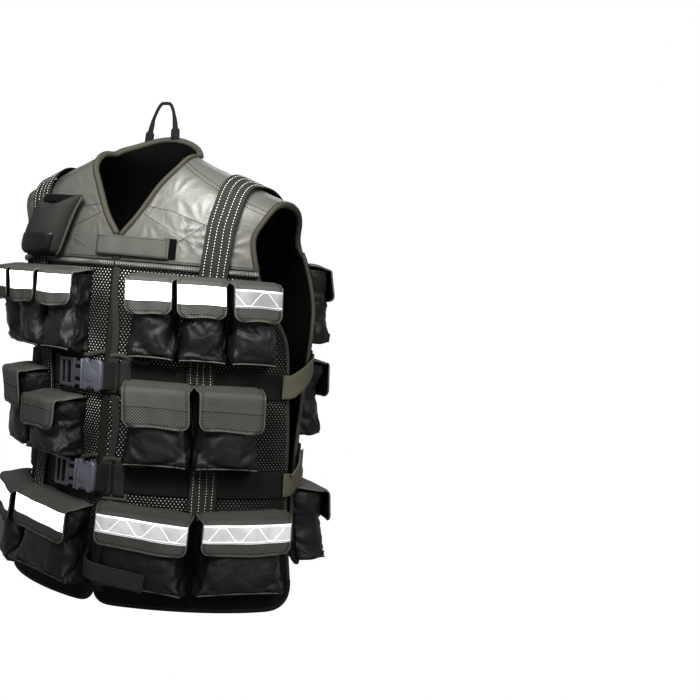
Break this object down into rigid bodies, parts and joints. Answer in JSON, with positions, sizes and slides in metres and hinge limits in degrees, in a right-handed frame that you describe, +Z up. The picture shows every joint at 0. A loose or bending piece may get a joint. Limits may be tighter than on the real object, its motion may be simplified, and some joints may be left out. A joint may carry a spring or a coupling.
{
  "type": "weighted vest",
  "caption": "Sleeveless weighted vest of black mesh with quilted shoulders, rows of flap pouches, reflective tape and belts with side-release buckles.",
  "frame": {"origin": "middle of the neck opening from side to side, at the height of the back of the neck, where the vest sits on the shoulders", "axes": "+Z up; the wearer faces -Y; +X is the wearer's left"},
  "size_m": [0.5076, 0.3533, 0.7078],
  "materials": {
    "mesh": "air mesh, matt",
    "yoke": "quilted nylon, soft sheen",
    "webbing": "ribbed webbing, matt",
    "binding": "grosgrain tape, matt",
    "strap": "light grey-olive webbing, matt",
    "buckle": "slate blue-grey acetal, satin",
    "pouch": "coated oxford cloth, slight sheen",
    "patch": "woven patch, matt"
  },
  "bodies": {
    "root": {"front_panel_left": "mesh", "front_panel_right": "mesh", "back_panel": "mesh", "yoke_front_left": "yoke", "yoke_front_right": "yoke", "yoke_back": "yoke", "edge_binding_left": "binding", "edge_binding_right": "binding", "neck_binding": "binding", "belt_front_upper_left": "webbing", "belt_front_upper_right": "webbing", "belt_back_upper": "webbing", "belt_front_lower_left": "webbing", "belt_front_lower_right": "webbing", "belt_back_lower": "webbing", "side_strap_upper_left": "strap", "side_strap_upper_right": "strap", "side_strap_lower_left": "strap", "side_strap_lower_right": "strap", "shoulder_webbing_left": "webbing", "shoulder_webbing_right": "webbing", "pouch_front_left_1_1": "pouch", "pouch_front_left_1_2": "pouch", "pouch_front_left_1_3": "pouch", "pouch_front_left_2_1": "pouch", "pouch_front_left_2_2": "pouch", "pouch_front_left_3_1": "pouch", "pouch_front_left_3_2": "pouch", "pouch_front_right_1_1": "pouch", "pouch_front_right_1_2": "pouch", "pouch_front_right_1_3": "pouch", "pouch_front_right_2_1": "pouch", "pouch_front_right_2_2": "pouch", "pouch_front_right_3_1": "pouch", "pouch_front_right_3_2": "pouch", "pouch_back_left_1_1": "pouch", "pouch_back_left_1_2": "pouch", "pouch_back_left_1_3": "pouch", "pouch_back_left_2_1": "pouch", "pouch_back_left_2_2": "pouch", "pouch_back_left_3_1": "pouch", "pouch_back_left_3_2": "pouch", "pouch_back_right_1_1": "pouch", "pouch_back_right_1_2": "pouch", "pouch_back_right_1_3": "pouch", "pouch_back_right_2_1": "pouch", "pouch_back_right_2_2": "pouch", "pouch_back_right_3_1": "pouch", "pouch_back_right_3_2": "pouch", "buckle_upper_female": "buckle", "buckle_upper_male": "buckle", "buckle_lower_female": "buckle", "buckle_lower_male": "buckle", "sternum_tab": "webbing", "hem_tab": "webbing", "hang_loop": "webbing", "phone_pouch": "pouch", "back_patch": "patch"}
  },
  "joints": []
}
